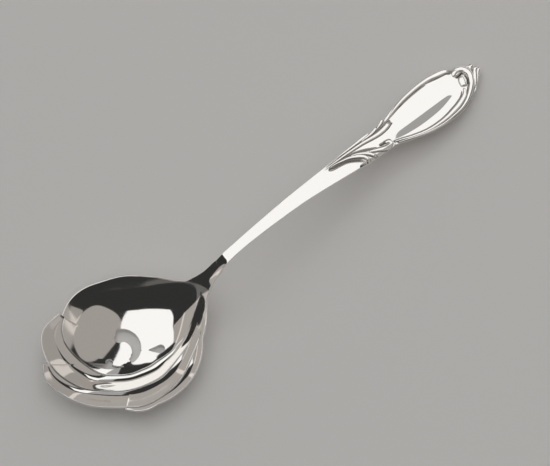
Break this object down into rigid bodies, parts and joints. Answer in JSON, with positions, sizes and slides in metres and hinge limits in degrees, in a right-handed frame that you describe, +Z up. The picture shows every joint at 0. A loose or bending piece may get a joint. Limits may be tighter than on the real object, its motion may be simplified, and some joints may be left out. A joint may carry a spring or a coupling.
{
  "type": "bonbon spoon",
  "caption": "Small silver sweet spoon with a pierced shell bowl of lapping petals, a plain arched stem and a teardrop handle panel framed by scrolls and leaves, for serving bonbons or nuts.",
  "frame": {"origin": "middle of the flat that is planished under the bowl, on the table's plane", "axes": "+X from the bowl along the handle to its tip, +Z up out of the bowl"},
  "size_m": [0.1241, 0.0317, 0.0147],
  "materials": {
    "silver": "polished silver",
    "ornament": "polished silver with darkened recesses"
  },
  "bodies": {
    "root": {"bowl": "silver", "handle": "silver", "left_border": "ornament", "right_border": "ornament", "crest_scroll": "ornament", "crest_leaf": "ornament", "finial_leaf": "ornament", "finial_bead": "ornament", "collar_scroll": "ornament", "leaf_lower": "ornament", "leaf_middle": "ornament", "leaf_upper": "ornament", "volute_scroll": "ornament", "upper_curl": "ornament", "lower_curl": "ornament"}
  },
  "joints": []
}
